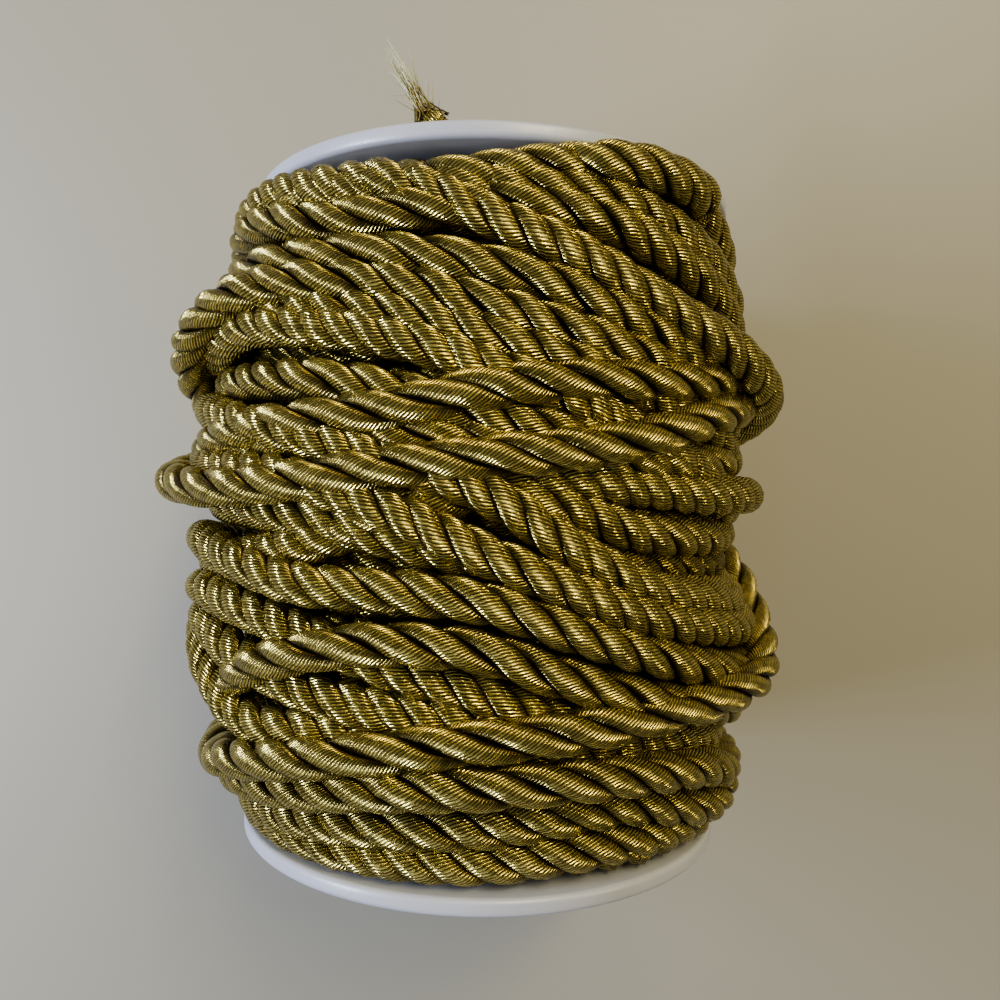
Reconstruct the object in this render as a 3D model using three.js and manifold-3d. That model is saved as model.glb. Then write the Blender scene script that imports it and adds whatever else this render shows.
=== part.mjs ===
// A reel of thick twisted cord lying on its side, in millimetres with +Z up.
// The reel's axis runs along Y. The origin is on the resting surface, under the middle of the reel.
import * as THREE from "three";
import { mergeVertices } from "three/addons/utils/BufferGeometryUtils.js";
import Module from "manifold-3d";

const wasm = await Module();
wasm.setup();

// Driving dimensions
const cordDiameter = 6;
const cordLay = 14; // length of cord in which a ply goes once round
const reelLength = 114;
const flangeRadius = 44;
const flangeThickness = 2.75;
const rimRound = 0.9;
const barrelRadius = 16;
const boreRadius = 11;
const axisHeight = 51.5; // of the reel's axis over the surface it lies on
const pieceGap = 0.3;

// Winding: the inner layers are a smooth body, and the turns are laid on it one after another
const coreRadiusMiddle = 40;
const coreRadiusEnd = 36.5;
const neatTurns = 17; // the last even layer, which shows in the gaps between the outer turns
const neatReach = 50; // of that layer along the axis, from the middle
const contactShare = 0.86; // of the cord's radius left where it is pressed on the turns below
const flankAngle = 70; // degrees from the crown at which a loose loop stands off most
const slackSpread = 26; // degrees either side of a flank over which it does
const bulgeMiddle = 51.5; // radius that the turns are pressed down to in the middle
const bulgeEnd = 47; // and beside the flanges
const bulgeLean = 2.8; // more of it on the left flank than on the crown, and less on the right
const firstTurnSink = 3.5; // how far under that radius the first outer turn is pressed
const lastTurnRise = 1.5; // and how far over it the last one stays
const bridgeReach = 13; // degrees of cord either side that a taut turn carries over a gap
const bridgePasses = 3;
const restPadLength = 60;
const restPadSpread = 8; // degrees either side of the lowest line
const layingStep = 0.5; // along the axis, for the rows on which the turns are laid

// The outer turns in the order in which they are wound. The first eleven columns are the place along the
// axis at which a turn passes each of turnAngles, with null where it just goes on to the next known place.
// The last two are how far it stands off the winding as a loose loop at the left and right flank, or, under
// nought, how far it is drawn in there.
const turnAngles = [-105, -70, -50, -30, -15, 0, 15, 30, 50, 70, 105]; // degrees from the crown towards +X
const outerTurns = [
  [null, -50.9, null, -50.5, null, -50, null, -49, null, -50.5, null, 0, 1.5],
  [null, -50, null, -46.5, null, -44.5, null, -43, null, -47, null, 0, 4],
  [-10, -23, -32.5, -32, -33, -34.5, -36, -38, -39, -39.5, null, 4, 0],
  [null, -18.5, -23, -26.5, -28, -29, -32, -35, -39, -43.5, null, 3.2, 0],
  [null, -13.5, -14.8, -18.2, -21.5, -24.5, -28.5, -32, -35, -37, null, 3.4, 0],
  [null, -9, -7, -4, 0.5, 4, 5.5, 5.2, 4.2, 4.6, null, 1, 5.2],
  [null, 1, 0.5, -1, -3, -5.5, -8, -10, -11.5, -12, null, 0, 0],
  [null, 3, 4, 5, 5, 4.5, 2, -1.5, -2.5, -2.5, null, 0, 0],
  [null, 8, 9.5, 11.2, 11.2, 10.8, 10, 9, 9.4, 10.5, null, 0, 1],
  [null, 21, 20.5, 19.5, 17.5, 14.5, 12.3, 10.5, 8, 6, null, 0, 0],
  [null, 31, 31, 30, 28.5, 26, 23, 19.5, 16, 13, null, 0, 0],
  [null, 27, 28.5, 27, 25, 21.7, 17.5, 13, 7.5, 2, null, 1, 0],
  [14, 27, 33.8, 34, 32.6, 29.8, 27, 24.5, 20.5, 17, null, 6, 0],
  [null, 38, 38.5, 37.6, 36.9, 35.3, 32.6, 29, 24.5, 21, null, 0, 0],
  [null, 49.6, 49, 47.6, 47, 47, 47.4, 46.4, 42.5, 38.5, null, -1.5, 0],
  [null, 47.2, 46, 43, 43.6, 44.4, 44.4, 42.2, 38, 34, null, 0, 0],
  [null, 50, 49, 47.6, 47.2, 48.8, 51, 52.1, 51.2, 47.6, null, -1.5, -1.5],
  [null, 50.2, 50, 48.5, 47.6, 42.3, 38, 33.3, 28, 22, 16, 0, 6],
  [null, 17, 14, 11, 7.5, 4, -3.5, -9.5, -12.5, -14.5, null, 0, 0],
  [null, 10, 12.3, 13.5, 14.9, 17.8, 19.7, 20.5, 22.3, 23.5, null, 0, 0],
  [null, 8, 6.5, 4.8, 0.9, -4.5, -9.5, -13.5, -16.5, -18, null, 0, 1.5],
  [null, -5, -7.2, -10, -10.3, -11.2, -15.2, -19, -23, -25, null, 0, 1.2],
  [null, -33, -25.5, -19.8, -17.5, -18, -22, -25.6, -29.5, -32, null, -3, 0],
  [null, -45, -43, -40.5, -38, -37, -36.5, -37, -39, -43, null, 0, 0],
  [null, -42.5, -39, -35.2, -32.5, -30.5, -29.5, -28.3, -27.2, -24, -5, 0, 5],
  [9, 4.8, 3.5, 4.9, 6.7, 8.4, 9.9, 12.4, 17, 20, null, 4.4, 0],
];

// Loose end: its route from the hole in the head flange, from the reel's axis
const looseEndRoute = [
  [20.4, 56.4, 15.4],
  [18.6, 59.2, 16.2],
  [14.4, 61.2, 17],
  [9, 62.2, 17.3],
  [3, 62.8, 17],
  [-3.4, 63.6, 16],
  [-8.6, 65.8, 14.4],
  [-11.3, 70.2, 12.6],
];
const leadHoleRadius = 5.4;
const lobeShare = 0.12; // of the cord's radius by which its plies stand out over the valleys
const looseEndSteps = 30;
const looseEndSides = 12;

// Frayed tip: each lock's length, its lean to the side and upwards in degrees, and its thickness
const locks = [
  [9, -3, 2, 1.5],
  [7.5, 4, -6, 1.5],
  [6, -8, -4, 1.5],
  [8, 2, 8, 1.4],
  [5, 10, 6, 1.4],
  [6.5, -12, -2, 1.3],
  [4.5, -16, 4, 1.3],
  [12, 0, 2, 1],
  [13.5, 3, -2, 0.9],
  [18, 1, 2, 0.8],
  [8.5, -22, 6, 0.6],
  [5, 50, 4, 0.6],
];
const backingLength = 1.6; // of the short stub that the locks grow from
const backingShare = [0.9, 0.65]; // of the cord's radius, at its root and at its end
const lockCircle = 1.5; // radius within which the locks are rooted
const lockSpin = 2.4; // radians from each lock's root to the next one's
const lockTaper = 0.8;

// Steps round and along the meshes
const reelSides = 64;
const holeSides = 20;
const windingColumns = 64;
const windingRows = 77;

const cordRadius = cordDiameter / 2;
const halfReel = reelLength / 2;
const windingHalf = halfReel - flangeThickness - pieceGap;

const cordMaterial = new THREE.MeshStandardMaterial({ color: 0x8d7428, roughness: 0.38, metalness: 0.8 });
const frayMaterial = new THREE.MeshStandardMaterial({ color: 0xb7a468, roughness: 0.5, metalness: 0.5 });
const plasticMaterial = new THREE.MeshStandardMaterial({ color: 0xe4e5e8, roughness: 0.35, metalness: 0 });

function solidOf(geometry) {
  const bare = geometry.clone();
  bare.deleteAttribute("normal");
  bare.deleteAttribute("uv");
  const merged = mergeVertices(bare, 1e-4);
  const mesh = new wasm.Mesh({
    numProp: 3,
    vertProperties: merged.attributes.position.array,
    triVerts: new Uint32Array(merged.index.array),
  });
  return new wasm.Manifold(mesh);
}

function geometryOf(solid) {
  const mesh = solid.getMesh();
  const geometry = new THREE.BufferGeometry();
  geometry.setAttribute("position", new THREE.BufferAttribute(mesh.vertProperties, 3));
  geometry.setIndex(new THREE.BufferAttribute(mesh.triVerts, 1));
  geometry.computeVertexNormals();
  return geometry;
}

// A closed mesh from rings of points: each ring is joined to the next, and the last to the first
// or, with ends, each end ring to a point at its centre.
function ringMesh(rings, hasEnds) {
  const ringSize = rings[0].length;
  const points = rings.flat();
  const triangles = [];
  const lastRing = hasEnds ? rings.length - 1 : rings.length;
  for (let ring = 0; ring < lastRing; ring++) {
    const here = ring * ringSize;
    const there = ((ring + 1) % rings.length) * ringSize;
    for (let side = 0; side < ringSize; side++) {
      const next = (side + 1) % ringSize;
      triangles.push(here + side, here + next, there + next);
      triangles.push(here + side, there + next, there + side);
    }
  }
  if (hasEnds) {
    const centreOf = (ring) =>
      ring.reduce((sum, point) => sum.add(point), new THREE.Vector3()).divideScalar(ringSize);
    const first = points.push(centreOf(rings[0])) - 1;
    const last = points.push(centreOf(rings.at(-1))) - 1;
    const lastStart = (rings.length - 1) * ringSize;
    for (let side = 0; side < ringSize; side++) {
      const next = (side + 1) % ringSize;
      triangles.push(first, next, side);
      triangles.push(last, lastStart + side, lastStart + next);
    }
  }
  const geometry = new THREE.BufferGeometry().setFromPoints(points);
  geometry.setIndex(triangles);
  geometry.computeVertexNormals();
  return geometry;
}

// A section carried along a curve: sectionRadius(share of the length, angle) gives each point's distance
// from the curve.
function sweptMesh(curve, steps, sides, sectionRadius) {
  const frames = curve.computeFrenetFrames(steps, false);
  const rings = [];
  for (let step = 0; step <= steps; step++) {
    const share = step / steps;
    const centre = curve.getPointAt(share);
    const ring = [];
    for (let side = 0; side < sides; side++) {
      const angle = (side / sides) * 2 * Math.PI;
      const reach = sectionRadius(share, angle);
      ring.push(
        centre
          .clone()
          .addScaledVector(frames.normals[step], reach * Math.cos(angle))
          .addScaledVector(frames.binormals[step], reach * Math.sin(angle)),
      );
    }
    rings.push(ring);
  }
  return ringMesh(rings, true);
}

function namedMesh(name, geometry, material) {
  const mesh = new THREE.Mesh(geometry, material);
  mesh.name = name;
  return mesh;
}

// Reel: a profile of two flanges with eased rims on a hollow barrel, turned about the axis,
// with the hole for the loose end through the head flange.
function makeReel() {
  const innerFace = halfReel - flangeThickness;
  const easedEdge = (centreY, from, to) =>
    [0, 0.5, 1].map((share) => {
      const angle = THREE.MathUtils.degToRad(from + (to - from) * share);
      return new THREE.Vector2(
        flangeRadius - rimRound + rimRound * Math.cos(angle),
        centreY + rimRound * Math.sin(angle),
      );
    });
  const profile = [
    new THREE.Vector2(boreRadius, -halfReel),
    ...easedEdge(-halfReel + rimRound, -90, 0),
    ...easedEdge(-innerFace - rimRound, 0, 90),
    new THREE.Vector2(barrelRadius, -innerFace),
    new THREE.Vector2(barrelRadius, innerFace),
    ...easedEdge(innerFace + rimRound, -90, 0),
    ...easedEdge(halfReel - rimRound, 0, 90),
    new THREE.Vector2(boreRadius, halfReel),
    new THREE.Vector2(boreRadius, -halfReel),
  ];
  const turned = new THREE.LatheGeometry(profile, reelSides);
  const [holeX, holeY, holeZ] = looseEndRoute[0];
  const hole = new THREE.CylinderGeometry(leadHoleRadius, leadHoleRadius, 4 * flangeThickness, holeSides);
  hole.translate(holeX, holeY, holeZ);
  return geometryOf(solidOf(turned).subtract(solidOf(hole)));
}

// A smooth value at an angle, through known values at rising angles: a cubic with the slope at each
// known angle taken from its two neighbours.
function smoothValue(angles, values, angle) {
  const last = angles.length - 1;
  let at = 0;
  while (at < last - 1 && angles[at + 1] < angle) at++;
  const slope = (i) => {
    const before = Math.max(i - 1, 0);
    const after = Math.min(i + 1, last);
    return (values[after] - values[before]) / (angles[after] - angles[before]);
  };
  const span = angles[at + 1] - angles[at];
  const t = Math.min(Math.max((angle - angles[at]) / span, 0), 1);
  return (
    (2 * t ** 3 - 3 * t ** 2 + 1) * values[at] +
    (t ** 3 - 2 * t ** 2 + t) * span * slope(at) +
    (3 * t ** 2 - 2 * t ** 3) * values[at + 1] +
    (t ** 3 - t ** 2) * span * slope(at + 1)
  );
}

// The whole cord's place along the axis against the angle it has gone round, as known points
function windingRoute() {
  const angles = [];
  const places = [];
  for (let turn = 0; turn < neatTurns; turn++) {
    angles.push(360 * turn);
    places.push(neatReach - (2 * neatReach * turn) / (neatTurns - 1));
  }
  outerTurns.forEach((turn, number) => {
    turnAngles.forEach((angle, column) => {
      if (turn[column] === null) return;
      angles.push(360 * (neatTurns + number) + angle);
      places.push(turn[column]);
    });
  });
  return { angles, places };
}

// The radius that crossing turns are pressed down to, fuller in the middle and on the left flank
function bulgeRadius(y, degrees) {
  const share = Math.abs(y / windingHalf) ** 3;
  const lean = bulgeLean * Math.sin(THREE.MathUtils.degToRad(-degrees)) * (1 - share);
  return THREE.MathUtils.lerp(bulgeMiddle, bulgeEnd, share) + lean;
}

// Surface radius of the winding on a grid of columns round the axis and fine rows along it. Each turn lies
// on what was laid before it, and being taut it bridges the gaps between the turns it crosses.
function layWinding() {
  const rows = Math.round((2 * windingHalf) / layingStep) + 1;
  const rowPlace = (row) => -windingHalf + row * layingStep;
  const columnAngle = (column) => (360 * column) / windingColumns - 180;
  const surface = Array.from({ length: windingColumns }, () =>
    Array.from({ length: rows }, (_, row) => {
      const share = (rowPlace(row) / windingHalf) ** 2;
      return coreRadiusMiddle + (coreRadiusEnd - coreRadiusMiddle) * share;
    }),
  );
  const { angles, places } = windingRoute();
  const columns = [...Array(windingColumns).keys()];
  for (let turn = 0; turn < neatTurns + outerTurns.length; turn++) {
    const slack = turn < neatTurns ? [0, 0] : outerTurns[turn - neatTurns].slice(-2);
    const place = columns.map((column) => smoothValue(angles, places, 360 * turn + columnAngle(column)));
    // The nearest rows that the cord covers at a column, with its half thickness there
    const covered = columns.map((column) => {
      const ahead = place[(column + 1) % windingColumns];
      const stepLength = (2 * Math.PI * flangeRadius) / windingColumns;
      const slope = column < windingColumns - 1 ? (ahead - place[column]) / stepLength : 0;
      const halfWidth = cordRadius * Math.hypot(1, slope);
      const found = [];
      for (let row = 0; row < rows; row++) {
        const off = (rowPlace(row) - place[column]) / halfWidth;
        if (Math.abs(off) < 1) found.push([row, Math.sqrt(1 - off ** 2)]);
      }
      return found;
    });
    const lowest = columns.map((column) =>
      Math.max(
        ...covered[column].map(([row, rise]) => surface[column][row] + contactShare * cordRadius * rise),
      ),
    );
    let centre = lowest;
    const reach = Math.round((bridgeReach * windingColumns) / 360);
    for (let pass = 0; pass < bridgePasses; pass++) {
      const before = centre;
      centre = columns.map((column) => {
        let sum = 0;
        for (let step = -reach; step <= reach; step++) {
          sum += before[(column + step + windingColumns) % windingColumns];
        }
        return Math.max(lowest[column], sum / (2 * reach + 1));
      });
    }
    const order = Math.max(turn - neatTurns, 0) / outerTurns.length;
    const pressed = THREE.MathUtils.lerp(-firstTurnSink, lastTurnRise, order) - cordRadius;
    columns.forEach((column) => {
      const most = bulgeRadius(place[column], columnAngle(column)) + pressed;
      const looseLoop = [-flankAngle, flankAngle].reduce((sum, flank, side) => {
        return sum + slack[side] * Math.exp(-(((columnAngle(column) - flank) / slackSpread) ** 2));
      }, 0);
      for (const [row, rise] of covered[column]) {
        const top = Math.min(centre[column], most) + looseLoop + cordRadius * rise;
        surface[column][row] = Math.max(surface[column][row], top);
      }
    });
  }
  return { surface, columnAngle };
}

// Winding: a ring-shaped body round the barrel whose outer face is the laid turns, flat where it lies
function makeWinding() {
  const { surface, columnAngle } = layWinding();
  const innerRadius = barrelRadius + pieceGap;
  const rings = surface.map((radii, column) => {
    const angle = THREE.MathUtils.degToRad(columnAngle(column));
    const pointAt = (radius, y) =>
      new THREE.Vector3(radius * Math.sin(angle), y, radius * Math.cos(angle));
    const ring = [pointAt(innerRadius, -windingHalf), pointAt(innerRadius, windingHalf)];
    for (let row = 0; row < windingRows; row++) {
      const y = windingHalf - (2 * windingHalf * row) / (windingRows - 1);
      const fineRow = (y + windingHalf) / layingStep;
      const below = Math.min(Math.floor(fineRow), radii.length - 2);
      const radius = THREE.MathUtils.lerp(radii[below], radii[below + 1], fineRow - below);
      const point = pointAt(radius, y);
      const underneath = 180 - Math.abs(columnAngle(column)) < restPadSpread;
      const onPad = underneath && Math.abs(y) < restPadLength / 2;
      if (onPad || point.z < -axisHeight) point.z = -axisHeight;
      ring.push(point);
    }
    return ring;
  });
  return ringMesh(rings, false);
}

function looseEndCurve() {
  return new THREE.CatmullRomCurve3(looseEndRoute.map((point) => new THREE.Vector3(...point)));
}

// Loose end: three plies twisted to the right, seen as a three-lobed section that turns along the cord
function makeLooseEnd() {
  const curve = looseEndCurve();
  const turns = curve.getLength() / cordLay;
  const lobed = (share, angle) => {
    const turned = angle - 2 * Math.PI * turns * share;
    return cordRadius * (1 - lobeShare + lobeShare * Math.cos(3 * turned));
  };
  return sweptMesh(curve, looseEndSteps, looseEndSides, lobed);
}

// Frayed tuft: three-sided locks that taper from a short backing at the tip of the loose end
function makeFrayedTuft() {
  const curve = looseEndCurve();
  const along = curve.getTangentAt(1);
  const across = new THREE.Vector3().crossVectors(along, new THREE.Vector3(0, 0, 1)).normalize();
  const up = new THREE.Vector3().crossVectors(across, along);
  const tip = curve.getPointAt(1).addScaledVector(along, pieceGap);
  const backing = new THREE.LineCurve3(tip, tip.clone().addScaledVector(along, backingLength));
  const backingRadius = (share) => cordRadius * THREE.MathUtils.lerp(...backingShare, share);
  let tuft = solidOf(sweptMesh(backing, 2, looseEndSides, backingRadius));
  locks.forEach(([length, side, lift, thickness], number) => {
    const spot = number * lockSpin;
    const spread = lockCircle * Math.sqrt(number / locks.length);
    const root = tip
      .clone()
      .addScaledVector(along, backingLength / 2)
      .addScaledVector(across, spread * Math.cos(spot))
      .addScaledVector(up, spread * Math.sin(spot));
    const sideways = Math.tan(THREE.MathUtils.degToRad(-side));
    const upwards = Math.tan(THREE.MathUtils.degToRad(lift));
    const heading = along.clone().addScaledVector(across, sideways).addScaledVector(up, upwards).normalize();
    const middle = root.clone().addScaledVector(along, length / 2 + backingLength / 2);
    const end = root.clone().addScaledVector(heading, length + backingLength / 2);
    const lock = new THREE.QuadraticBezierCurve3(root, middle, end);
    tuft = tuft.add(solidOf(sweptMesh(lock, 3, 3, (share) => thickness * (1 - lockTaper * share))));
  });
  return geometryOf(tuft);
}

const reelOfCord = new THREE.Group();
const onAxis = new THREE.Group();
onAxis.position.z = axisHeight;
onAxis.add(
  namedMesh("reel", makeReel(), plasticMaterial),
  namedMesh("winding", makeWinding(), cordMaterial),
  namedMesh("loose_end", makeLooseEnd(), cordMaterial),
  namedMesh("frayed_tuft", makeFrayedTuft(), frayMaterial),
);
reelOfCord.add(onAxis);

export default reelOfCord;
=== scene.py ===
import math

import bpy
import numpy as np
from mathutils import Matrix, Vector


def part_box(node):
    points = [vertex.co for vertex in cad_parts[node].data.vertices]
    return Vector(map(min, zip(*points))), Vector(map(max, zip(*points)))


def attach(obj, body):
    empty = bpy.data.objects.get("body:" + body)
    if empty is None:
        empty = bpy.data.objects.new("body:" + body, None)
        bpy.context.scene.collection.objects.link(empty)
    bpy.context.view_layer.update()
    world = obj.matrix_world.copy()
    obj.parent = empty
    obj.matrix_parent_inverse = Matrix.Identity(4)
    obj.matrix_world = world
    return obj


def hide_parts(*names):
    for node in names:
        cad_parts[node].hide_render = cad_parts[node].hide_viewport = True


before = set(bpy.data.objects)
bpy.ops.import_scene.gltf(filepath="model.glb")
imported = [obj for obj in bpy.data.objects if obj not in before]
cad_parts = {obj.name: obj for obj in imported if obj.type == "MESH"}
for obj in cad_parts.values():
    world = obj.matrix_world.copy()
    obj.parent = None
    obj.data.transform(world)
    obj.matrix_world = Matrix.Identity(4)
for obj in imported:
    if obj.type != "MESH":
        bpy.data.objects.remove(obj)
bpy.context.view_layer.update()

mm = 0.001
fullTurn = 2 * math.pi
reelLow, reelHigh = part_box("reel")
flangeRadius = (reelHigh[0] - reelLow[0]) / 2
axisHeight = (reelLow[2] + reelHigh[2]) / 2  # of the reel's axis over the surface it lies on


# camera, straight over the reel and turned a little against it
cameraFacts = {
    "overAxis": 160 * mm,
    "sideways": 2.6 * mm,
    "alongAxis": 2.7 * mm,
    "turned": math.radians(1.4),
    "lens": 29.4,
    "sensor": 36,
    "clipStart": 5 * mm,
}
cameraData = bpy.data.cameras.new("camera")
cameraData.lens = cameraFacts["lens"]
cameraData.sensor_width = cameraFacts["sensor"]
cameraData.clip_start = cameraFacts["clipStart"]
camera = bpy.data.objects.new("camera", cameraData)
camera.location = (cameraFacts["sideways"], cameraFacts["alongAxis"], axisHeight + cameraFacts["overAxis"])
camera.rotation_euler = (0, 0, cameraFacts["turned"])
bpy.context.scene.collection.objects.link(camera)
bpy.context.scene.camera = camera


# sRGB hex to the linear colour that the shaders take
def toLinear(hexColour):
    channels = [int(hexColour[i:i + 2], 16) / 255 for i in (1, 3, 5)]
    return [c / 12.92 if c <= 0.04045 else ((c + 0.055) / 1.055) ** 2.4 for c in channels] + [1]


# adds one node, sets its properties and input values, and links its inputs
def addNode(tree, kind, values=None, links=None, **settings):
    node = tree.nodes.new(kind)
    for name, value in settings.items():
        setattr(node, name, value)
    for name, value in (values or {}).items():
        node.inputs[name].default_value = value
    for name, socket in (links or {}).items():
        tree.links.new(socket, node.inputs[name])
    return node


# a mesh of closed tubes from ring points shaped (tubes, rings, sides, xyz), each capped at both ends,
# with a UV map shaped (tubes, rings, sides + 1, 2)
def tubeObject(name, rings, uv, material):
    tubes, ringCount, sides, _ = rings.shape
    index = np.arange(tubes * ringCount * sides).reshape(tubes, ringCount, sides)
    after = np.roll(index, -1, axis=2)
    walls = np.stack([index[:, :-1], after[:, :-1], after[:, 1:], index[:, 1:]], axis=-1)
    caps = np.concatenate([index[:, 0, ::-1], index[:, -1]])
    column = np.arange(sides)
    wallUv = np.stack([
        uv[:, :-1][:, :, column], uv[:, :-1][:, :, column + 1],
        uv[:, 1:][:, :, column + 1], uv[:, 1:][:, :, column],
    ], axis=-2)
    capUv = np.concatenate([uv[:, 0, :sides][:, ::-1], uv[:, -1, :sides]])
    wallCount = walls.size // 4
    starts = np.concatenate([
        np.arange(wallCount) * 4,
        wallCount * 4 + np.arange(len(caps)) * sides,
    ])
    mesh = bpy.data.meshes.new(name)
    mesh.vertices.add(index.size)
    mesh.vertices.foreach_set("co", np.ascontiguousarray(rings, dtype=np.float32).ravel())
    mesh.loops.add(walls.size + caps.size)
    mesh.loops.foreach_set("vertex_index", np.concatenate([walls.ravel(), caps.ravel()]).astype(np.int32))
    mesh.polygons.add(len(starts))
    mesh.polygons.foreach_set("loop_start", starts.astype(np.int32))
    mesh.polygons.foreach_set("use_smooth", np.ones(len(starts), dtype=bool))
    layer = mesh.uv_layers.new(name="alongPly")
    layer.data.foreach_set("uv", np.concatenate([wallUv.ravel(), capUv.ravel()]).astype(np.float32))
    mesh.update(calc_edges=True)
    mesh.validate()
    mesh.materials.append(material)
    piece = bpy.data.objects.new(name, mesh)
    bpy.context.scene.collection.objects.link(piece)
    return piece


def unit(vectors):
    return vectors / np.linalg.norm(vectors, axis=-1, keepdims=True)


# part of each vector square to a unit direction, made unit length
def squareTo(vectors, direction):
    return unit(vectors - (vectors * direction).sum(-1, keepdims=True) * direction)


# metallic thread wrapped round a soft ply: a bright film that flashes on the top of each turn of thread,
# with dark gaps between the turns, and painted shade that darkens the ply's sides where two plies meet
wrapFacts = {
    "threadSpacing": 0.42,  # mm, drawn coarser than the real 0.25 so that it shows
    "threadsAbreast": 14,  # wound side by side, which slants them on the ply
    "threadWander": 1.3,  # radians of its own pitch that a thread strays by
    "threadRise": 0.13 * mm,
    "film": "#d9ca78",
    "shadedFilm": "#a89b55",  # painted shade: a darker film for the turns underneath, which lie in the shade of those over them
    # the dark between the threads, and also the painted shade on the plies' sides
    "gap": "#3b3013",
    "dullest": 0.62,  # share of the film's colour on the dullest thread
    "gapShare": 0.06,  # share of it that is left between two threads
    "gapEnd": 0.5,  # share of a thread's height at which the dark between two threads ends
    "paintedSideShade": (-0.15, 0.8),  # painted shade on the ply's sides: cosine round the ply at which the film starts to show, and shows in full
    "metallic": 0.92,
    "roughness": (0.13, 0.27),  # of the smoothest thread and the roughest
}
waveScale = 0.31416  # gives the wave texture one band in each unit: a full turn over its own 20 radians


def wrappedMetallicThread(name, film):
    material = bpy.data.materials.new(name)
    material.use_nodes = True
    tree = material.node_tree
    tree.nodes.clear()
    uvMap = addNode(tree, "ShaderNodeUVMap", uv_map="alongPly")
    thread = addNode(
        tree, "ShaderNodeTexWave", {
            "Scale": waveScale / wrapFacts["threadSpacing"], "Distortion": wrapFacts["threadWander"],
            "Detail": 1.0, "Detail Scale": 0.4,
        },
        {"Vector": uvMap.outputs["UV"]}, wave_type="BANDS", bands_direction="X", wave_profile="SIN",
    )
    parts = addNode(tree, "ShaderNodeSeparateXYZ", None, {"Vector": uvMap.outputs["UV"]})
    # each thread has a tone and a roughness of its own, by its number along the ply
    count = addNode(
        tree, "ShaderNodeMath", {1: wrapFacts["threadSpacing"]}, {0: parts.outputs["X"]}, operation="DIVIDE",
    )
    number = addNode(tree, "ShaderNodeMath", None, {0: count.outputs[0]}, operation="FLOOR")
    chance = addNode(tree, "ShaderNodeTexWhiteNoise", None, {"W": number.outputs[0]}, noise_dimensions="1D")
    filmTone = addNode(
        tree, "ShaderNodeMapRange", {"To Min": wrapFacts["dullest"]}, {"Value": chance.outputs["Value"]},
    )
    gapMask = addNode(
        tree, "ShaderNodeMapRange", {"From Max": wrapFacts["gapEnd"], "To Min": wrapFacts["gapShare"]},
        {"Value": thread.outputs["Fac"]},
    )
    # painted shade: towards the ply's sides and its inner half the colour goes over to the dark of the gaps
    roundPly = addNode(
        tree, "ShaderNodeMath", {1: fullTurn}, {0: parts.outputs["Y"]}, operation="MULTIPLY",
    )
    outwards = addNode(tree, "ShaderNodeMath", None, {0: roundPly.outputs[0]}, operation="COSINE")
    paintedSideShade = addNode(
        tree, "ShaderNodeMapRange", {"From Min": wrapFacts["paintedSideShade"][0], "From Max": wrapFacts["paintedSideShade"][1]},
        {"Value": outwards.outputs[0]}, interpolation_type="SMOOTHSTEP",
    )
    tone = addNode(
        tree, "ShaderNodeMath", None, {0: filmTone.outputs[0], 1: gapMask.outputs[0]}, operation="MULTIPLY",
    )
    shade = addNode(
        tree, "ShaderNodeMath", None, {0: tone.outputs[0], 1: paintedSideShade.outputs[0]}, operation="MULTIPLY",
    )
    colour = addNode(
        tree, "ShaderNodeMix", {"A": toLinear(wrapFacts["gap"]), "B": toLinear(film)},
        {"Factor": shade.outputs[0]}, data_type="RGBA",
    )
    rough = addNode(
        tree, "ShaderNodeMapRange",
        {"To Min": wrapFacts["roughness"][0], "To Max": wrapFacts["roughness"][1]},
        {"Value": chance.outputs["Value"]},
    )
    bump = addNode(
        tree, "ShaderNodeBump", {"Strength": 1.0, "Distance": wrapFacts["threadRise"]},
        {"Height": thread.outputs["Fac"]},
    )
    shader = addNode(
        tree, "ShaderNodeBsdfPrincipled", {"Metallic": wrapFacts["metallic"]},
        {
            "Base Color": colour.outputs["Result"],
            "Roughness": rough.outputs[0],
            "Normal": bump.outputs["Normal"],
        },
    )
    addNode(tree, "ShaderNodeOutputMaterial", None, {"Surface": shader.outputs["BSDF"]})
    return material


goldWrap = wrappedMetallicThread("gold film thread, wrapped on each ply", wrapFacts["film"])
# a darker copy of the film, as painted shade on the buried turns
shadedWrap = wrappedMetallicThread("gold film thread, darkened as painted shade", wrapFacts["shadedFilm"])


# the twisted cord: three plies round a centre line. A ply's centre goes round the line once in a lay, to the
# right, and its section is an oval square to the ply itself, flatter towards the middle of the cord.
cordFacts = {
    "diameter": 6 * mm,
    "plies": 3,
    "plyOut": 1.62 * mm,  # ply's centre from the cord's
    "plyDeep": 1.6 * mm,  # half of the ply's section outwards
    "plyWide": 1.82 * mm,  # half of it sideways
    "plyShift": 37.0,  # mm of thread from one ply to the next, so that no two look alike
    "unevenPitches": [11 * mm, 23 * mm, 47 * mm],
    "layUneven": 0.2,
    "plyDrift": 0.16,  # radians that a ply slips round from its even place
    "plyUneven": 0.07,
}
randomDraw = np.random.default_rng(20)
cordRadius = cordFacts["diameter"] / 2


# slow uneven waves along the cord, one row for each of several strands: the mean of a sine at each pitch
def unevenWaves(travelled, strands):
    pitches = np.array(cordFacts["unevenPitches"])
    offsets = randomDraw.uniform(0, fullTurn, (strands, len(pitches)))
    return np.sin(fullTurn * travelled[None, :, None] / pitches + offsets[:, None]).mean(axis=-1)


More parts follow.
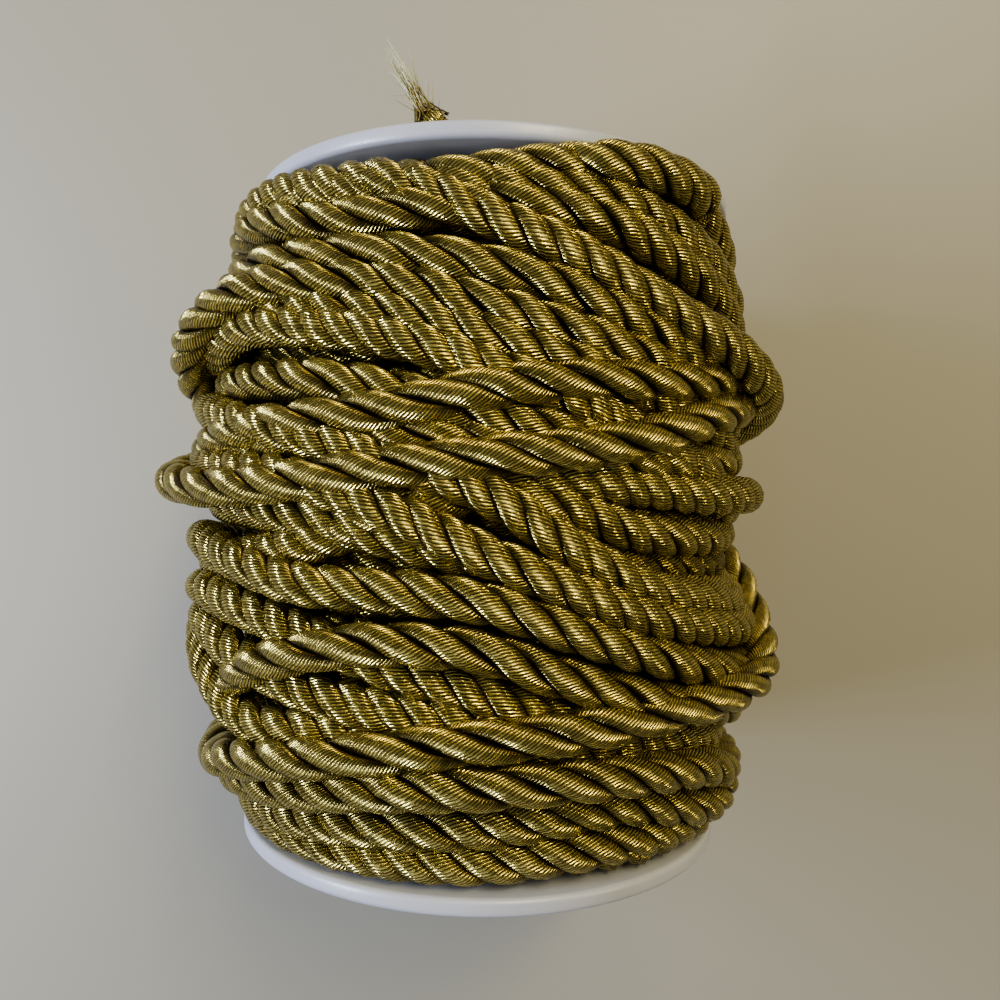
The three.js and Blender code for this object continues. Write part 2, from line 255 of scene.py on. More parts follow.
# ring points of the plies along a line, their UV map and the line's length; u goes along a ply in mm and
# slants with the thread, and v goes once round the ply from its outer side
def twistedPlies(line, outward, lay, sides):
    plies = cordFacts["plies"]
    along = unit(np.gradient(line, axis=0))
    normal = squareTo(outward, along)
    side = np.cross(along, normal)
    step = np.linalg.norm(np.diff(line, axis=0), axis=1)
    travelled = np.concatenate([[0], np.cumsum(step)])
    layHere = lay * (1 + cordFacts["layUneven"] * unevenWaves(travelled, 1)[0])
    phase = np.concatenate([[0], np.cumsum(step * fullTurn / layHere[1:])])
    phases = phase[None] + fullTurn * np.arange(plies)[:, None] / plies
    phases = phases + cordFacts["plyDrift"] * unevenWaves(travelled, plies)
    swell = 1 + cordFacts["plyUneven"] * unevenWaves(travelled, plies)[..., None, None]
    out = np.cos(phases)[..., None] * normal + np.sin(phases)[..., None] * side
    centre = line + cordFacts["plyOut"] * out
    plyAlong = unit(np.gradient(centre, axis=1))
    plyOut = squareTo(out, plyAlong)
    plySide = np.cross(plyAlong, plyOut)
    sideAngle = fullTurn * np.arange(sides) / sides
    rings = (
        centre[:, :, None]
        + swell * cordFacts["plyDeep"] * np.cos(sideAngle)[:, None] * plyOut[:, :, None]
        + swell * cordFacts["plyWide"] * np.sin(sideAngle)[:, None] * plySide[:, :, None]
    )
    plyStep = np.linalg.norm(np.diff(centre, axis=1), axis=-1)
    plyLength = np.concatenate([np.zeros((plies, 1)), np.cumsum(plyStep, axis=1)], axis=1) / mm
    share = np.arange(sides + 1) / sides
    slant = wrapFacts["threadsAbreast"] * wrapFacts["threadSpacing"] * share
    u = plyLength[:, :, None] + slant + cordFacts["plyShift"] * np.arange(plies)[:, None, None]
    uv = np.stack([u, np.broadcast_to(share, u.shape)], axis=-1)
    return rings, uv, travelled[-1]


# smooth values at any angles through known ones: a cubic between each pair, with the slope at a known
# angle taken from its two neighbours
def smoothThrough(knownAngles, knownValues, angles):
    slope = np.empty_like(knownValues)
    slope[1:-1] = (knownValues[2:] - knownValues[:-2]) / (knownAngles[2:] - knownAngles[:-2])
    slope[0] = (knownValues[1] - knownValues[0]) / (knownAngles[1] - knownAngles[0])
    slope[-1] = (knownValues[-1] - knownValues[-2]) / (knownAngles[-1] - knownAngles[-2])
    at = np.clip(np.searchsorted(knownAngles, angles) - 1, 0, len(knownAngles) - 2)
    span = knownAngles[at + 1] - knownAngles[at]
    t = np.clip((angles - knownAngles[at]) / span, 0, 1)
    return (
        (2 * t ** 3 - 3 * t ** 2 + 1) * knownValues[at]
        + (t ** 3 - 2 * t ** 2 + t) * span * slope[at]
        + (3 * t ** 2 - 2 * t ** 3) * knownValues[at + 1]
        + (t ** 3 - t ** 2) * span * slope[at + 1]
    )


# the loose end, out through the hole in the head flange; places from the reel's axis, in mm
looseEndFacts = {
    "route": [
        (20.4, 56.4, 15.4),
        (18.6, 59.2, 16.2),
        (14.4, 61.2, 17),
        (9, 62.2, 17.3),
        (3, 62.8, 17),
        (-3.4, 63.6, 16),
        (-8.6, 65.8, 14.4),
        (-11.3, 70.2, 12.6),
    ],
    "lay": 14 * mm,
    "steps": 90,
    "sides": 16,
}
routePoints = np.array(looseEndFacts["route"]) * mm + [0, 0, axisHeight]
routeGaps = np.linalg.norm(np.diff(routePoints, axis=0), axis=1)
routeMarks = np.concatenate([[0], np.cumsum(routeGaps)])
routeSteps = np.linspace(0, routeMarks[-1], looseEndFacts["steps"])
looseLine = np.stack([smoothThrough(routeMarks, routePoints[:, i], routeSteps) for i in range(3)], axis=1)
looseLay = np.full(len(looseLine), looseEndFacts["lay"])
upwards = np.tile([0.0, 0.0, 1.0], (len(looseLine), 1))
looseRings, looseUv, looseLength = twistedPlies(looseLine, upwards, looseLay, looseEndFacts["sides"])
looseEnd = tubeObject("looseEndPlies", looseRings, looseUv, goldWrap)
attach(looseEnd, "root")
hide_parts("loose_end")
print("loose end", round(looseLength, 4), "m long")


# the frayed tip: the plies' film threads, which still lean together, and pale fibres out of the plies'
# middles. A strand starts at its own spot in the cord's section, runs on along the cord, draws in towards the
# bundle's middle and bends and waves a little, and it thins out towards its tip.
frayFacts = {
    "rings": 16,
    "sides": 5,
    "tipSteps": 3,  # of the loose end's line, which give the way it points
    "wave": 0.35,  # mm, of the strands' waving
    "waveAcross": 5,  # radians of it from root to tip
    "waveUp": 7,
    "taper": 0.75,  # share of the thickness lost at the tip
    "lean": (-0.04, 0.03, 0.16),  # further lean of the bundle at its tip, as a share of the length
}
frayKinds = [
    # name, strands, shortest, longest, half thickness, spread at the root and at the tip (mm), straying
    ("frayedFilm", 150, 3.5, 9.5, 0.16, 3.7, 0.9, 0.05),
    ("looseFilm", 9, 4.0, 8.0, 0.09, 2.8, 3.2, 0.3),
    ("frayedFibre", 60, 9.0, 18.5, 0.12, 1.8, 1.1, 0.06),
]


def frayedStrands(name, strands, shortest, longest, half, rootSpread, tipSpread, stray, material):
    along = unit(looseLine[-1] - looseLine[-1 - frayFacts["tipSteps"]])
    across = unit(np.cross(along, [0.0, 0.0, 1.0]))
    up = np.cross(across, along)
    t = np.linspace(0, 1, frayFacts["rings"])[None, :, None]
    length = randomDraw.uniform(shortest, longest, (strands, 1, 1))
    turned = randomDraw.uniform(0, fullTurn, (strands, 1, 1))
    out = np.sqrt(randomDraw.uniform(0, 1, (strands, 1, 1)))
    spot = np.cos(turned) * across + np.sin(turned) * up
    spread = rootSpread + (tipSpread - rootSpread) * t * (2 - t)
    strayAcross = randomDraw.normal(0, stray, (strands, 1, 1))
    strayUp = randomDraw.normal(0, stray, (strands, 1, 1))
    strayWay = strayAcross * across + strayUp * up
    waveStart = randomDraw.uniform(0, fullTurn, (strands, 1, 2))
    wave = frayFacts["wave"] * t * (
        np.sin(frayFacts["waveAcross"] * t + waveStart[..., :1]) * across
        + np.sin(frayFacts["waveUp"] * t + waveStart[..., 1:]) * up
    )
    centre = along * length * t + spot * out * spread + strayWay * length * t ** 2 + wave
    centre = centre + np.array(frayFacts["lean"]) * length * t ** 2
    sideAngle = fullTurn * np.arange(frayFacts["sides"]) / frayFacts["sides"]
    ring = np.cos(sideAngle)[:, None] * across + np.sin(sideAngle)[:, None] * up
    thick = half * (1 - frayFacts["taper"] * t ** 2)
    rings = (centre[:, :, None] + thick[..., None] * ring) * mm + looseLine[-1]
    number = np.arange(strands)[:, None, None] + 0.5  # the UV map's u, which gives the strand its tone
    shape = (strands, frayFacts["rings"], frayFacts["sides"] + 1)
    uv = np.stack([np.broadcast_to(number, shape), np.broadcast_to(t, shape)], axis=-1)
    piece = tubeObject(name, rings, uv, material)
    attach(piece, "root")
    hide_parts("frayed_tuft")
    return piece


# gold film, which still glints, and pale viscose fibre, which doesn't; both with a tone for each strand
strandFacts = {
    "film": {"dark": "#3b2f16", "light": "#b9a768", "metallic": 0.6, "roughness": 0.34},
    "fibre": {"dark": "#a9aa86", "light": "#d9dabd", "metallic": 0.0, "roughness": 0.42},
}


def looseStrand(name, dark, light, metallic, roughness):
    material = bpy.data.materials.new(name)
    material.use_nodes = True
    tree = material.node_tree
    shader = tree.nodes["Principled BSDF"]
    uvMap = addNode(tree, "ShaderNodeUVMap", uv_map="alongPly")
    parts = addNode(tree, "ShaderNodeSeparateXYZ", None, {"Vector": uvMap.outputs["UV"]})
    strand = addNode(tree, "ShaderNodeMath", None, {0: parts.outputs["X"]}, operation="FLOOR")
    tone = addNode(tree, "ShaderNodeTexWhiteNoise", None, {"W": strand.outputs[0]}, noise_dimensions="1D")
    colour = addNode(
        tree, "ShaderNodeMix", {"A": toLinear(dark), "B": toLinear(light)}, {"Factor": tone.outputs["Value"]},
        data_type="RGBA",
    )
    tree.links.new(colour.outputs["Result"], shader.inputs["Base Color"])
    shader.inputs["Metallic"].default_value = metallic
    shader.inputs["Roughness"].default_value = roughness
    return material


filmStrand = looseStrand("gold film thread, unravelled", **strandFacts["film"])
fibreStrand = looseStrand("viscose fibre, unravelled", **strandFacts["fibre"])
for facts in frayKinds:
    strandMaterial = fibreStrand if facts[0] == "frayedFibre" else filmStrand
    frayedStrands(*facts, strandMaterial)
print("frayed tip,", sum(facts[1] for facts in frayKinds), "strands")


# the winding: the last even layer, then the outer turns one after another in the order they were wound.
# A row's first eleven numbers are the places along the axis, in mm, at which the turn passes turnAngles, with
# None where it goes straight on to the next; then how far it stands off as a loose loop at the left and the
# right flank, or is drawn in where that is under nought, and the lay of its twist there, longer where the
# cord has come loose.
windingFacts = {
    "half": 53.95,  # mm, from the middle to an end
    "flangeFace": 54.25,  # from the middle to a flange; a turn that reaches past it lies over the rim
    "coreMiddle": 40.0,  # radius of the inner layers in the middle
    "coreEnd": 36.5,  # and beside the flanges
    "neatTurns": 17,  # in the last even layer
    "neatReach": 50.0,
    "neatLay": 16.0,
    "slantRadius": 44.0,  # at which a turn's slant against the axis is worked out
    "contactShare": 0.86,  # of the cord's radius left where it is pressed on the turns below
    "flankAngle": 70.0,  # degrees from the crown at which a loose loop stands off most
    "slackSpread": 26.0,
    "bulgeMiddle": 51.5,  # radius that the turns are pressed down to in the middle
    "bulgeEnd": 47.0,
    "bulgeLean": 2.8,  # more of it on the left flank, and less on the right
    "firstTurnSink": 3.5,  # how far under that radius the first outer turn is pressed
    "lastTurnRise": 1.5,  # and how far over it the last one stays
    "bridgeReach": 13,  # degrees either side that a taut turn carries over a gap
    "bridgePasses": 3,
    "rowStep": 0.25,  # mm between the rows on which the turns are laid
    "evenFrom": 140,  # degrees from the crown at which the evening under the reel sets in
    "evenOver": 30,  # and over which it comes to its full strength
    "evenReach": 20,
    "tuckedOver": 50,  # degrees over which the outer end dives under the turns
    "tuckedDeep": 9.0,
    "layAngle": 60.0,  # degrees from the crown at which a row's lays hold
}
turnAngles = [-105, -70, -50, -30, -15, 0, 15, 30, 50, 70, 105]  # degrees from the crown towards +X
outerTurns = [
    [None, -50.9, None, -50.5, None, -50, None, -49, None, -50.5, None, 0, 1.5, 15, 18],
    [None, -50, None, -46.5, None, -44.5, None, -43, None, -47, None, 0, 4, 16, 20],
    [-10, -23, -32.5, -32, -33, -34.5, -36, -38, -39, -39.5, None, 4, 0, 15, 16],
    [None, -18.5, -23, -26.5, -28, -29, -32, -35, -39, -43.5, None, 3.2, 0, 15, 15],
    [None, -13.5, -14.8, -18.2, -21.5, -24.5, -28.5, -32, -35, -37, None, 3.4, 0, 15, 15],
    [None, -9, -7, -4, 0.5, 4, 5.5, 5.2, 4.2, 4.6, None, 1, 5.2, 13, 13],
    [None, 1, 0.5, -1, -3, -5.5, -8, -10, -11.5, -12, None, 0, 0, 16, 16],
    [None, 3, 4, 5, 5, 4.5, 2, -1.5, -2.5, -2.5, None, 0, 0, 16, 16],
    [None, 8, 9.5, 11.2, 11.2, 10.8, 10, 9, 9.4, 10.5, None, 0, 1, 22, 22],
    [None, 21, 20.5, 19.5, 17.5, 14.5, 12.3, 10.5, 8, 6, None, 0, 0, 22, 18],
    [None, 31, 31, 30, 28.5, 26, 23, 19.5, 16, 13, None, 0, 0, 17, 17],
    [None, 27, 28.5, 27, 25, 21.7, 17.5, 13, 7.5, 2, None, 1, 0, 14, 14],
    [14, 27, 33.8, 34, 32.6, 29.8, 27, 24.5, 20.5, 17, None, 6, 0, 22, 17],
    [None, 38, 38.5, 37.6, 36.9, 35.3, 32.6, 29, 24.5, 21, None, 0, 0, 30, 17],
    [None, 49.6, 49, 47.6, 47, 47, 47.4, 46.4, 42.5, 38.5, None, -1.5, 0, 17, 17],
    [None, 47.2, 46, 43, 43.6, 44.4, 44.4, 42.2, 38, 34, None, 0, 0, 26, 17],
    [None, 50, 49, 47.6, 47.2, 48.8, 51, 52.1, 51.2, 47.6, None, -1.5, -1.5, 20, 17],
    [None, 50.2, 50, 48.5, 47.6, 42.3, 38, 33.3, 28, 22, 16, 0, 6, 15, 16],
    [None, 17, 14, 11, 7.5, 4, -3.5, -9.5, -12.5, -14.5, None, 0, 0, 15, 15],
    [None, 10, 12.3, 13.5, 14.9, 17.8, 19.7, 20.5, 22.3, 23.5, None, 0, 0, 24, 24],
    [None, 8, 6.5, 4.8, 0.9, -4.5, -9.5, -13.5, -16.5, -18, None, 0, 1.5, 15, 15],
    [None, -5, -7.2, -10, -10.3, -11.2, -15.2, -19, -23, -25, None, 0, 1.2, 15, 22],
    [None, -33, -25.5, -19.8, -17.5, -18, -22, -25.6, -29.5, -32, None, -3, 0, 24, 24],
    [None, -45, -43, -40.5, -38, -37, -36.5, -37, -39, -43, None, 0, 0, 22, 22],
    [None, -42.5, -39, -35.2, -32.5, -30.5, -29.5, -28.3, -27.2, -24, -5, 0, 5, 26, 26],
    [9, 4.8, 3.5, 4.9, 6.7, 8.4, 9.9, 12.4, 17, 20, None, 4.4, 0, 24, 24],
]
slackColumns = slice(11, 13)
layColumns = slice(13, 15)
turnCount = windingFacts["neatTurns"] + len(outerTurns)
degree = np.arange(360) - 180.0
# the furthest that a turn's centre may be from the axis, in mm, with its plies clear of the surface under the
# reel; beside the axis and over it the least share of down keeps this limit far off
plyReach = cordFacts["plyOut"] + cordFacts["plyDeep"] * (1 + cordFacts["plyUneven"])
leastDown = 0.1
downwards = np.maximum(-np.cos(np.radians(degree)), leastDown)
floorLimit = (axisHeight - plyReach) / mm / downwards


# known angles and places of the whole cord, from the first even turn to the last outer one
def windingRoute():
    neat = windingFacts["neatTurns"]
    angles = [360.0 * turn for turn in range(neat)]
    places = list(np.linspace(windingFacts["neatReach"], -windingFacts["neatReach"], neat))
    for number, row in enumerate(outerTurns):
        crown = 360.0 * (neat + number)
        known = [(crown + angle, place) for angle, place in zip(turnAngles, row) if place is not None]
        angles += [angle for angle, _ in known]
        places += [place for _, place in known]
    return np.array(angles), np.array(places, dtype=float)


# the inner layers' radius, which falls off with the square of the way to a flange
def coreRadius(place):
    share = (place / windingFacts["half"]) ** 2
    return windingFacts["coreMiddle"] + (windingFacts["coreEnd"] - windingFacts["coreMiddle"]) * share


# the radius that crossing turns are pressed down to: it falls off with the cube of the way to a flange, and
# is fuller on the left flank by a sine of the angle
def bulgeRadius(place, angles):
    share = np.abs(place / windingFacts["half"]) ** 3
    lean = windingFacts["bulgeLean"] * np.sin(np.radians(-angles)) * (1 - share)
    fall = (windingFacts["bulgeEnd"] - windingFacts["bulgeMiddle"]) * share
    return windingFacts["bulgeMiddle"] + fall + lean


# average over a number of degrees either side; past an end the values go round (wrap) or hold still (edge)
def slidingAverage(values, reach, pastEnd):
    width = 2 * reach + 1
    return np.convolve(np.pad(values, reach, mode=pastEnd), np.ones(width) / width, mode="valid")


# lays each turn on what is there already: its centre is as low as the surface under it lets it be, it bridges
# gaps as a taut cord does, and it is pressed down to the bulge; then it becomes part of the surface
def layWinding():
    radius = cordRadius / mm
    rows = np.arange(-windingFacts["half"], windingFacts["half"], windingFacts["rowStep"])
    surface = np.tile(coreRadius(rows), (len(degree), 1))
    knownAngles, knownPlaces = windingRoute()
    degreeLength = windingFacts["slantRadius"] * math.radians(1)
    allPlaces, allRadii = [], []
    for turn in range(turnCount):
        outer = turn - windingFacts["neatTurns"]
        slack = outerTurns[outer][slackColumns] if outer >= 0 else [0, 0]
        order = max(outer, 0) / len(outerTurns)
        pressed = -windingFacts["firstTurnSink"] * (1 - order) + windingFacts["lastTurnRise"] * order - radius
        place = smoothThrough(knownAngles, knownPlaces, 360.0 * turn + degree)
        slope = np.gradient(place) / degreeLength
        off = (rows - place[:, None]) / (radius * np.hypot(1, slope))[:, None]
        covered = np.abs(off) < 1
        rise = radius * np.sqrt(np.clip(1 - off ** 2, 0, None))
        lowest = np.where(covered, surface + windingFacts["contactShare"] * rise, 0).max(axis=1)
        centre = lowest
        for _ in range(windingFacts["bridgePasses"]):
            centre = np.maximum(lowest, slidingAverage(centre, windingFacts["bridgeReach"], "wrap"))
        centre = np.minimum(centre, bulgeRadius(place, degree) + pressed)
        for flank, stand in zip((-windingFacts["flankAngle"], windingFacts["flankAngle"]), slack):
            centre = centre + stand * np.exp(-((degree - flank) / windingFacts["slackSpread"]) ** 2)
        overRim = np.clip(radius ** 2 - (windingFacts["flangeFace"] - np.abs(place)) ** 2, 0, None)
        beside = np.abs(place) < windingFacts["flangeFace"] - radius
        centre = np.maximum(centre, np.where(beside, 0, flangeRadius / mm + np.sqrt(overRim)))
        centre = np.minimum(centre, floorLimit)
        surface = np.maximum(surface, np.where(covered, centre[:, None] + rise, 0))
        allPlaces.append(place)
        allRadii.append(centre)
    return np.concatenate(allPlaces), np.concatenate(allRadii)


places, radii = layWinding()
allDegrees = np.tile(degree, turnCount)
# under the reel, where one turn of the table goes over into the next, the radius is evened out
evened = slidingAverage(radii, windingFacts["evenReach"], "edge")
nearJoin = np.clip((np.abs(allDegrees) - windingFacts["evenFrom"]) / windingFacts["evenOver"], 0, 1)
radii = np.minimum(radii + (evened - radii) * nearJoin, np.tile(floorLimit, turnCount))
tucked = np.clip((np.arange(len(radii)) - len(radii)) / windingFacts["tuckedOver"] + 1, 0, 1)
radii = radii - windingFacts["tuckedDeep"] * tucked ** 2
print("winding laid, radius up to", round(radii.max() + cordRadius / mm, 1), "mm")

angles = np.radians(allDegrees)
outward = np.stack([np.sin(angles), np.zeros_like(angles), np.cos(angles)], axis=1)
axisPoints = np.stack([np.zeros_like(places), places * mm, np.full_like(places, axisHeight)], axis=1)
cordLine = outward * radii[:, None] * mm + axisPoints
layAt = []
layKnown = []
for turn in range(turnCount):
    outer = turn - windingFacts["neatTurns"]
    layAt += [360.0 * turn - windingFacts["layAngle"], 360.0 * turn + windingFacts["layAngle"]]
    layKnown += outerTurns[outer][layColumns] if outer >= 0 else [windingFacts["neatLay"]] * 2
wholeAngle = np.concatenate([360.0 * turn + degree for turn in range(turnCount)])
layAll = np.interp(wholeAngle, layAt, layKnown) * mm


# one piece of the winding, from one turn to another, with every so many degrees kept
def windingPiece(name, first, last, every, sides, material):
    chosen = np.arange(first * 360, min(last * 360 + 1, len(cordLine)), every)
    rings, uv, length = twistedPlies(cordLine[chosen], outward[chosen], layAll[chosen], sides)
    piece = tubeObject(name, rings, uv, material)
    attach(piece, "root")
    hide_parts("winding")
    print(name, len(piece.data.polygons), "faces,", round(length, 2), "m of cord")
    return piece


pieceFacts = {
    "evenStep": 2,  # degrees from ring to ring
    "evenSides": 8,
    "outerStep": 1,
    "outerSides": 12,
    "turnsInPiece": 7,  # keeps each piece under 200,000 triangles
}
# the even layer is drawn in the darker film, as painted shade
windingPiece(
    "evenLayer", 0, windingFacts["neatTurns"], pieceFacts["evenStep"], pieceFacts["evenSides"], shadedWrap,
)
for number, first in enumerate(range(windingFacts["neatTurns"], turnCount, pieceFacts["turnsInPiece"])):
    last = min(first + pieceFacts["turnsInPiece"], turnCount)
    windingPiece(
        "outerTurns%d" % (number + 1), first, last,
        pieceFacts["outerStep"], pieceFacts["outerSides"], goldWrap,
    )


# a closed profile of radius and place along the axis, in mm, turned about the reel's axis: X is the radius
# times the angle's sine, Z the radius times its cosine, and Y the place. The UV map goes round the axis in mm
# at that radius, and across the turns of cord.
def turnedObject(name, radius, place, segments, material, turnPitch):
    angle = fullTurn * np.arange(segments + 1) / segments
    points = np.stack([
        np.sin(angle[:-1, None]) * radius,
        np.broadcast_to(place, (segments, len(place))),
        np.cos(angle[:-1, None]) * radius,
    ], axis=-1) * mm + [0, 0, axisHeight]
    index = np.arange(segments * len(radius)).reshape(segments, len(radius))
    after = np.roll(index, -1, axis=0)
    faces = np.stack([index, np.roll(index, -1, 1), np.roll(after, -1, 1), after], axis=-1)
    u = angle[:, None] * radius
    uv = np.stack([u, np.broadcast_to(place / turnPitch, u.shape)], axis=-1)
    following = np.roll(uv, -1, axis=1)
    cornerUv = np.stack([uv[:-1], following[:-1], following[1:], uv[1:]], axis=2)
    mesh = bpy.data.meshes.new(name)
    mesh.from_pydata(points.reshape(-1, 3).tolist(), [], faces.reshape(-1, 4).tolist())
    layer = mesh.uv_layers.new(name="alongPly")
    layer.data.foreach_set("uv", cornerUv.astype(np.float32).ravel())
    mesh.materials.append(material)
    mesh.polygons.foreach_set("use_smooth", np.ones(len(mesh.polygons), dtype=bool))
    piece = bpy.data.objects.new(name, mesh)
    bpy.context.scene.collection.objects.link(piece)
    return piece


# the turns under the even layer, which only show as a dark ground in the gaps: ridges, each half a wave of a
# cosine along the axis
innerFacts = {
    "under": 0.6,  # mm from the even layer's underside
    "ridge": 1.2,
    "pitch": 6.25,
    "inside": 16.3,  # radius, a little clear of the barrel
    "steps": 200,
    "segments": 180,
}
innerPlace = np.linspace(-windingFacts["half"], windingFacts["half"], innerFacts["steps"])
innerRidge = np.abs(np.cos(math.pi * innerPlace / innerFacts["pitch"]))
innerRadius = coreRadius(innerPlace) - innerFacts["under"] - innerFacts["ridge"] * (1 - innerRidge)
# drawn in the darker film, as painted shade
innerTurns = turnedObject(
    "innerTurns", np.append(innerRadius, [innerFacts["inside"]] * 2),
    np.append(innerPlace, [windingFacts["half"], -windingFacts["half"]]),
    innerFacts["segments"], shadedWrap, innerFacts["pitch"],
)
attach(innerTurns, "root")
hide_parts("winding")
print("innerTurns", len(innerTurns.data.polygons), "faces")


# moulded white polystyrene: smooth and slightly glossy, with a faint cloud in its tone and fine flow marks;
# the faint blue in both tones is painted reflection of the cool window light
plasticFacts = {
    "white": "#b9bcc8",
    "shaded": "#adb0bc",
    "cloudWidth": 9 * mm,
    "grainWidth": 0.8 * mm,
    "grainRise": 0.03 * mm,
    "roughness": (0.26, 0.44),
    "ior": 1.59,
}


def mouldedPolystyrene():
    material = bpy.data.materials.new("white polystyrene, moulded")
    material.use_nodes = True
    tree = material.node_tree
    shader = tree.nodes["Principled BSDF"]
    place = addNode(tree, "ShaderNodeTexCoord")
    cloud = addNode(
        tree, "ShaderNodeTexNoise", {"Scale": 1 / plasticFacts["cloudWidth"], "Detail": 3.0},
        {"Vector": place.outputs["Object"]},
    )
    colour = addNode(
        tree, "ShaderNodeMix", {"A": toLinear(plasticFacts["shaded"]), "B": toLinear(plasticFacts["white"])},
        {"Factor": cloud.outputs["Fac"]}, data_type="RGBA",
    )
    grain = addNode(
        tree, "ShaderNodeTexNoise", {"Scale": 1 / plasticFacts["grainWidth"], "Detail": 2.0},
        {"Vector": place.outputs["Object"]},
    )
    rough = addNode(
        tree, "ShaderNodeMapRange",
        {"To Min": plasticFacts["roughness"][0], "To Max": plasticFacts["roughness"][1]},
        {"Value": grain.outputs["Fac"]},
    )
    bump = addNode(
        tree, "ShaderNodeBump", {"Strength": 0.5, "Distance": plasticFacts["grainRise"]},
        {"Height": grain.outputs["Fac"]},
    )
    tree.links.new(colour.outputs["Result"], shader.inputs["Base Color"])
    tree.links.new(rough.outputs[0], shader.inputs["Roughness"])
    tree.links.new(bump.outputs["Normal"], shader.inputs["Normal"])
    shader.inputs["IOR"].default_value = plasticFacts["ior"]
    return material


# the reel: two flanges with eased rims on a hollow barrel, with the hole for the loose end; sizes in mm
reelFacts = {
    "flangeThick": 2.75,
    "rimRound": 0.9,
    "boreRound": 0.6,
    "roundPoints": 7,  # along each of these quarter rounds
    "barrel": 16.0,
    "bore": 11.0,
    "leadHole": 5.4,
    "holeSides": 48,
    "holeBar": (6, -4),  # ends of the bar that takes the hole out, from the flange's inner face
    "segments": 180,
    "sharpFrom": math.radians(35),  # between two faces, past which their edge isn't smoothed
}


# a quarter round of an edge, an arc about its centre from one angle in degrees to the next
def easedEdge(centreRadius, centrePlace, edgeRound, first, last):
    angle = np.radians(np.linspace(first, last, reelFacts["roundPoints"]))
    radius = centreRadius + edgeRound * np.cos(angle)
    place = centrePlace + edgeRound * np.sin(angle)
    return np.stack([radius, place], axis=1)


halfReel = (reelHigh[1] - reelLow[1]) / 2 / mm
innerFace = halfReel - reelFacts["flangeThick"]
rimRound = reelFacts["rimRound"]
rimCentre = flangeRadius / mm - rimRound
boreRound = reelFacts["boreRound"]
boreCentre = reelFacts["bore"] + boreRound
reelProfile = np.concatenate([
    easedEdge(boreCentre, -halfReel + boreRound, boreRound, -180, -90),
    easedEdge(rimCentre, -halfReel + rimRound, rimRound, -90, 0),
    easedEdge(rimCentre, -innerFace - rimRound, rimRound, 0, 90),
    [(reelFacts["barrel"], -innerFace), (reelFacts["barrel"], innerFace)],
    easedEdge(rimCentre, innerFace + rimRound, rimRound, -90, 0),
    easedEdge(rimCentre, halfReel - rimRound, rimRound, 0, 90),
    easedEdge(boreCentre, halfReel - boreRound, boreRound, 90, 180),
])
whitePlastic = mouldedPolystyrene()
reelPiece = turnedObject(
    "reelMoulding", reelProfile[:, 0], reelProfile[:, 1], reelFacts["segments"], whitePlastic, 1.0,
)

# the hole is taken out with a short round bar through the head flange
holeAngle = fullTurn * np.arange(reelFacts["holeSides"]) / reelFacts["holeSides"]
holeX, _, holeZ = looseEndFacts["route"][0]
holeRing = np.stack([
    holeX + reelFacts["leadHole"] * np.cos(holeAngle),
    np.zeros(len(holeAngle)),
    holeZ + reelFacts["leadHole"] * np.sin(holeAngle),
], axis=1)
barRings = np.stack([holeRing + [0, innerFace + end, 0] for end in reelFacts["holeBar"]])[None]
barRings = barRings * mm + [0, 0, axisHeight]
holeBar = tubeObject("holeBar", barRings, np.zeros((1, 2, len(holeAngle) + 1, 2)), whitePlastic)
takeOut = reelPiece.modifiers.new("leadHole", "BOOLEAN")
takeOut.object = holeBar
takeOut.operation = "DIFFERENCE"
drilled = bpy.data.meshes.new_from_object(reelPiece.evaluated_get(bpy.context.evaluated_depsgraph_get()))
reelPiece.modifiers.clear()
reelPiece.data = drilled
bpy.data.objects.remove(holeBar)
drilled.set_sharp_from_angle(angle=reelFacts["sharpFrom"])
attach(reelPiece, "root")
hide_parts("reel")
print("reel", len(drilled.polygons), "faces")


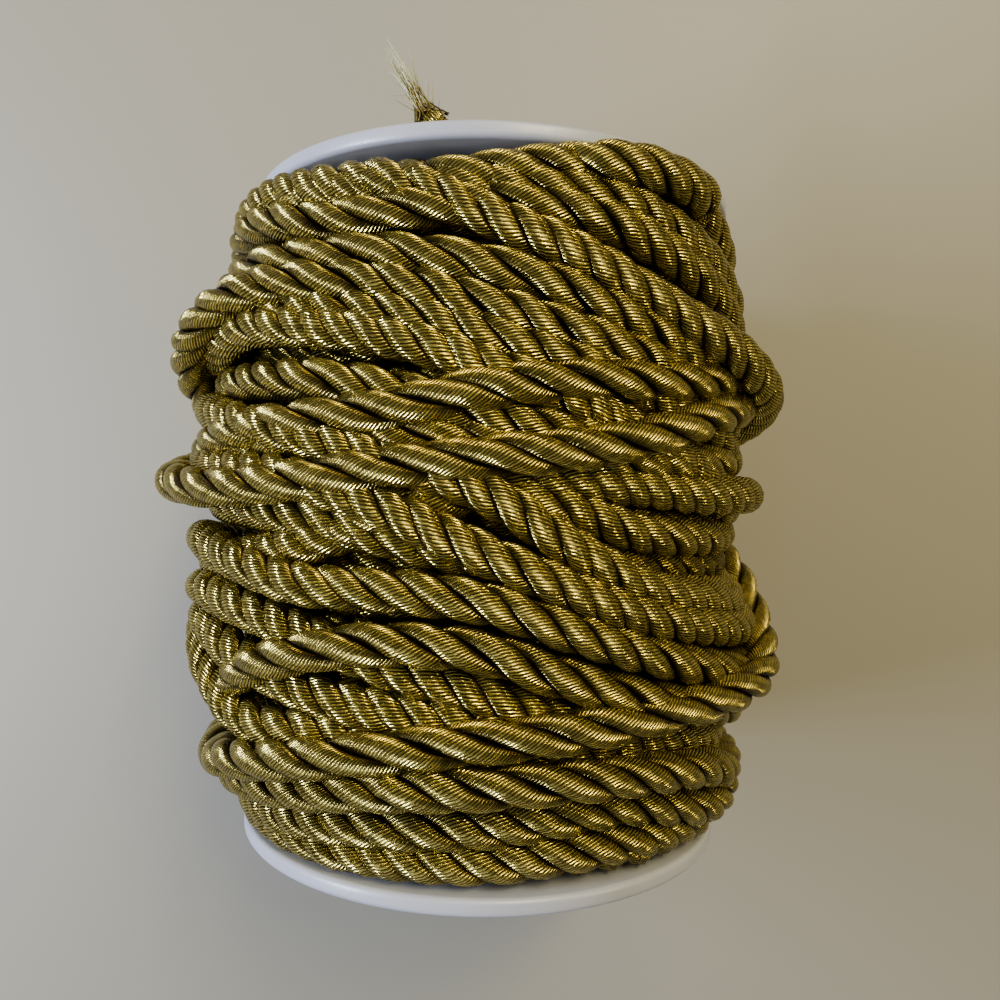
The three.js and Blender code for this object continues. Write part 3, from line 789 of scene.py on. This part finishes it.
# floor, a plain pale table with a satin finish
floorFacts = {
    "colour": "#9d9a8f",
    "roughness": 0.55,
    "half": 3,  # m
}
floorMaterial = bpy.data.materials.new("pale satin table top")
floorMaterial.use_nodes = True
floorShader = floorMaterial.node_tree.nodes["Principled BSDF"]
floorShader.inputs["Base Color"].default_value = toLinear(floorFacts["colour"])
floorShader.inputs["Roughness"].default_value = floorFacts["roughness"]
half = floorFacts["half"]
floorCorners = [(-half, -half, 0), (half, -half, 0), (half, half, 0), (-half, half, 0)]
floorMesh = bpy.data.meshes.new("floor")
floorMesh.from_pydata(floorCorners, [], [(0, 1, 2, 3)])
floorMesh.materials.append(floorMaterial)
floor = bpy.data.objects.new("floor", floorMesh)
bpy.context.scene.collection.objects.link(floor)


# lights, all turned towards the reel: a cool window on the left, warm lamps behind and on the right, and two
# soft fills
lightFacts = [
    # name, place, size across and along in m, watts, colour
    ("windowLight", (-0.46, -0.02, 0.36), 0.4, 0.045, 3.9, "#dfe8ff"),
    ("ceilingLight", (0.28, 0.5, 0.82), 0.09, 0.36, 3.5, "#ffefac"),
    ("sideLight", (0.5, 0.12, 0.4), 0.2, 0.05, 0.6, "#ffecb4"),
    ("softFill", (0.3, 0.8, 0.75), 0.7, 0.7, 4.6, "#ffeed8"),
    ("nearFill", (0.05, -0.85, 0.22), 0.6, 0.3, 0.9, "#e6ebf5"),
]
for name, place, across, length, watts, colour in lightFacts:
    data = bpy.data.lights.new(name, "AREA")
    data.shape = "RECTANGLE"
    data.size = across
    data.size_y = length
    data.energy = watts
    data.color = toLinear(colour)[:3]
    light = bpy.data.objects.new(name, data)
    light.location = place
    toward = np.array([0, 0, axisHeight]) - np.array(place)
    tilt = math.atan2(math.hypot(toward[0], toward[1]), -toward[2])
    heading = math.atan2(toward[0], -toward[1]) + math.pi
    light.rotation_euler = (tilt, 0, heading)
    bpy.context.scene.collection.objects.link(light)

# the room's own faint light
roomFacts = {
    "colour": "#b9b6ae",
    "strength": 0.34,
    "look": "AgX - Medium High Contrast",
}
world = bpy.data.worlds.new("soft room")
world.use_nodes = True
background = world.node_tree.nodes["Background"]
background.inputs["Color"].default_value = toLinear(roomFacts["colour"])
background.inputs["Strength"].default_value = roomFacts["strength"]
bpy.context.scene.world = world
bpy.context.scene.view_settings.look = roomFacts["look"]
print("floor,", len(lightFacts), "lights and the room set")
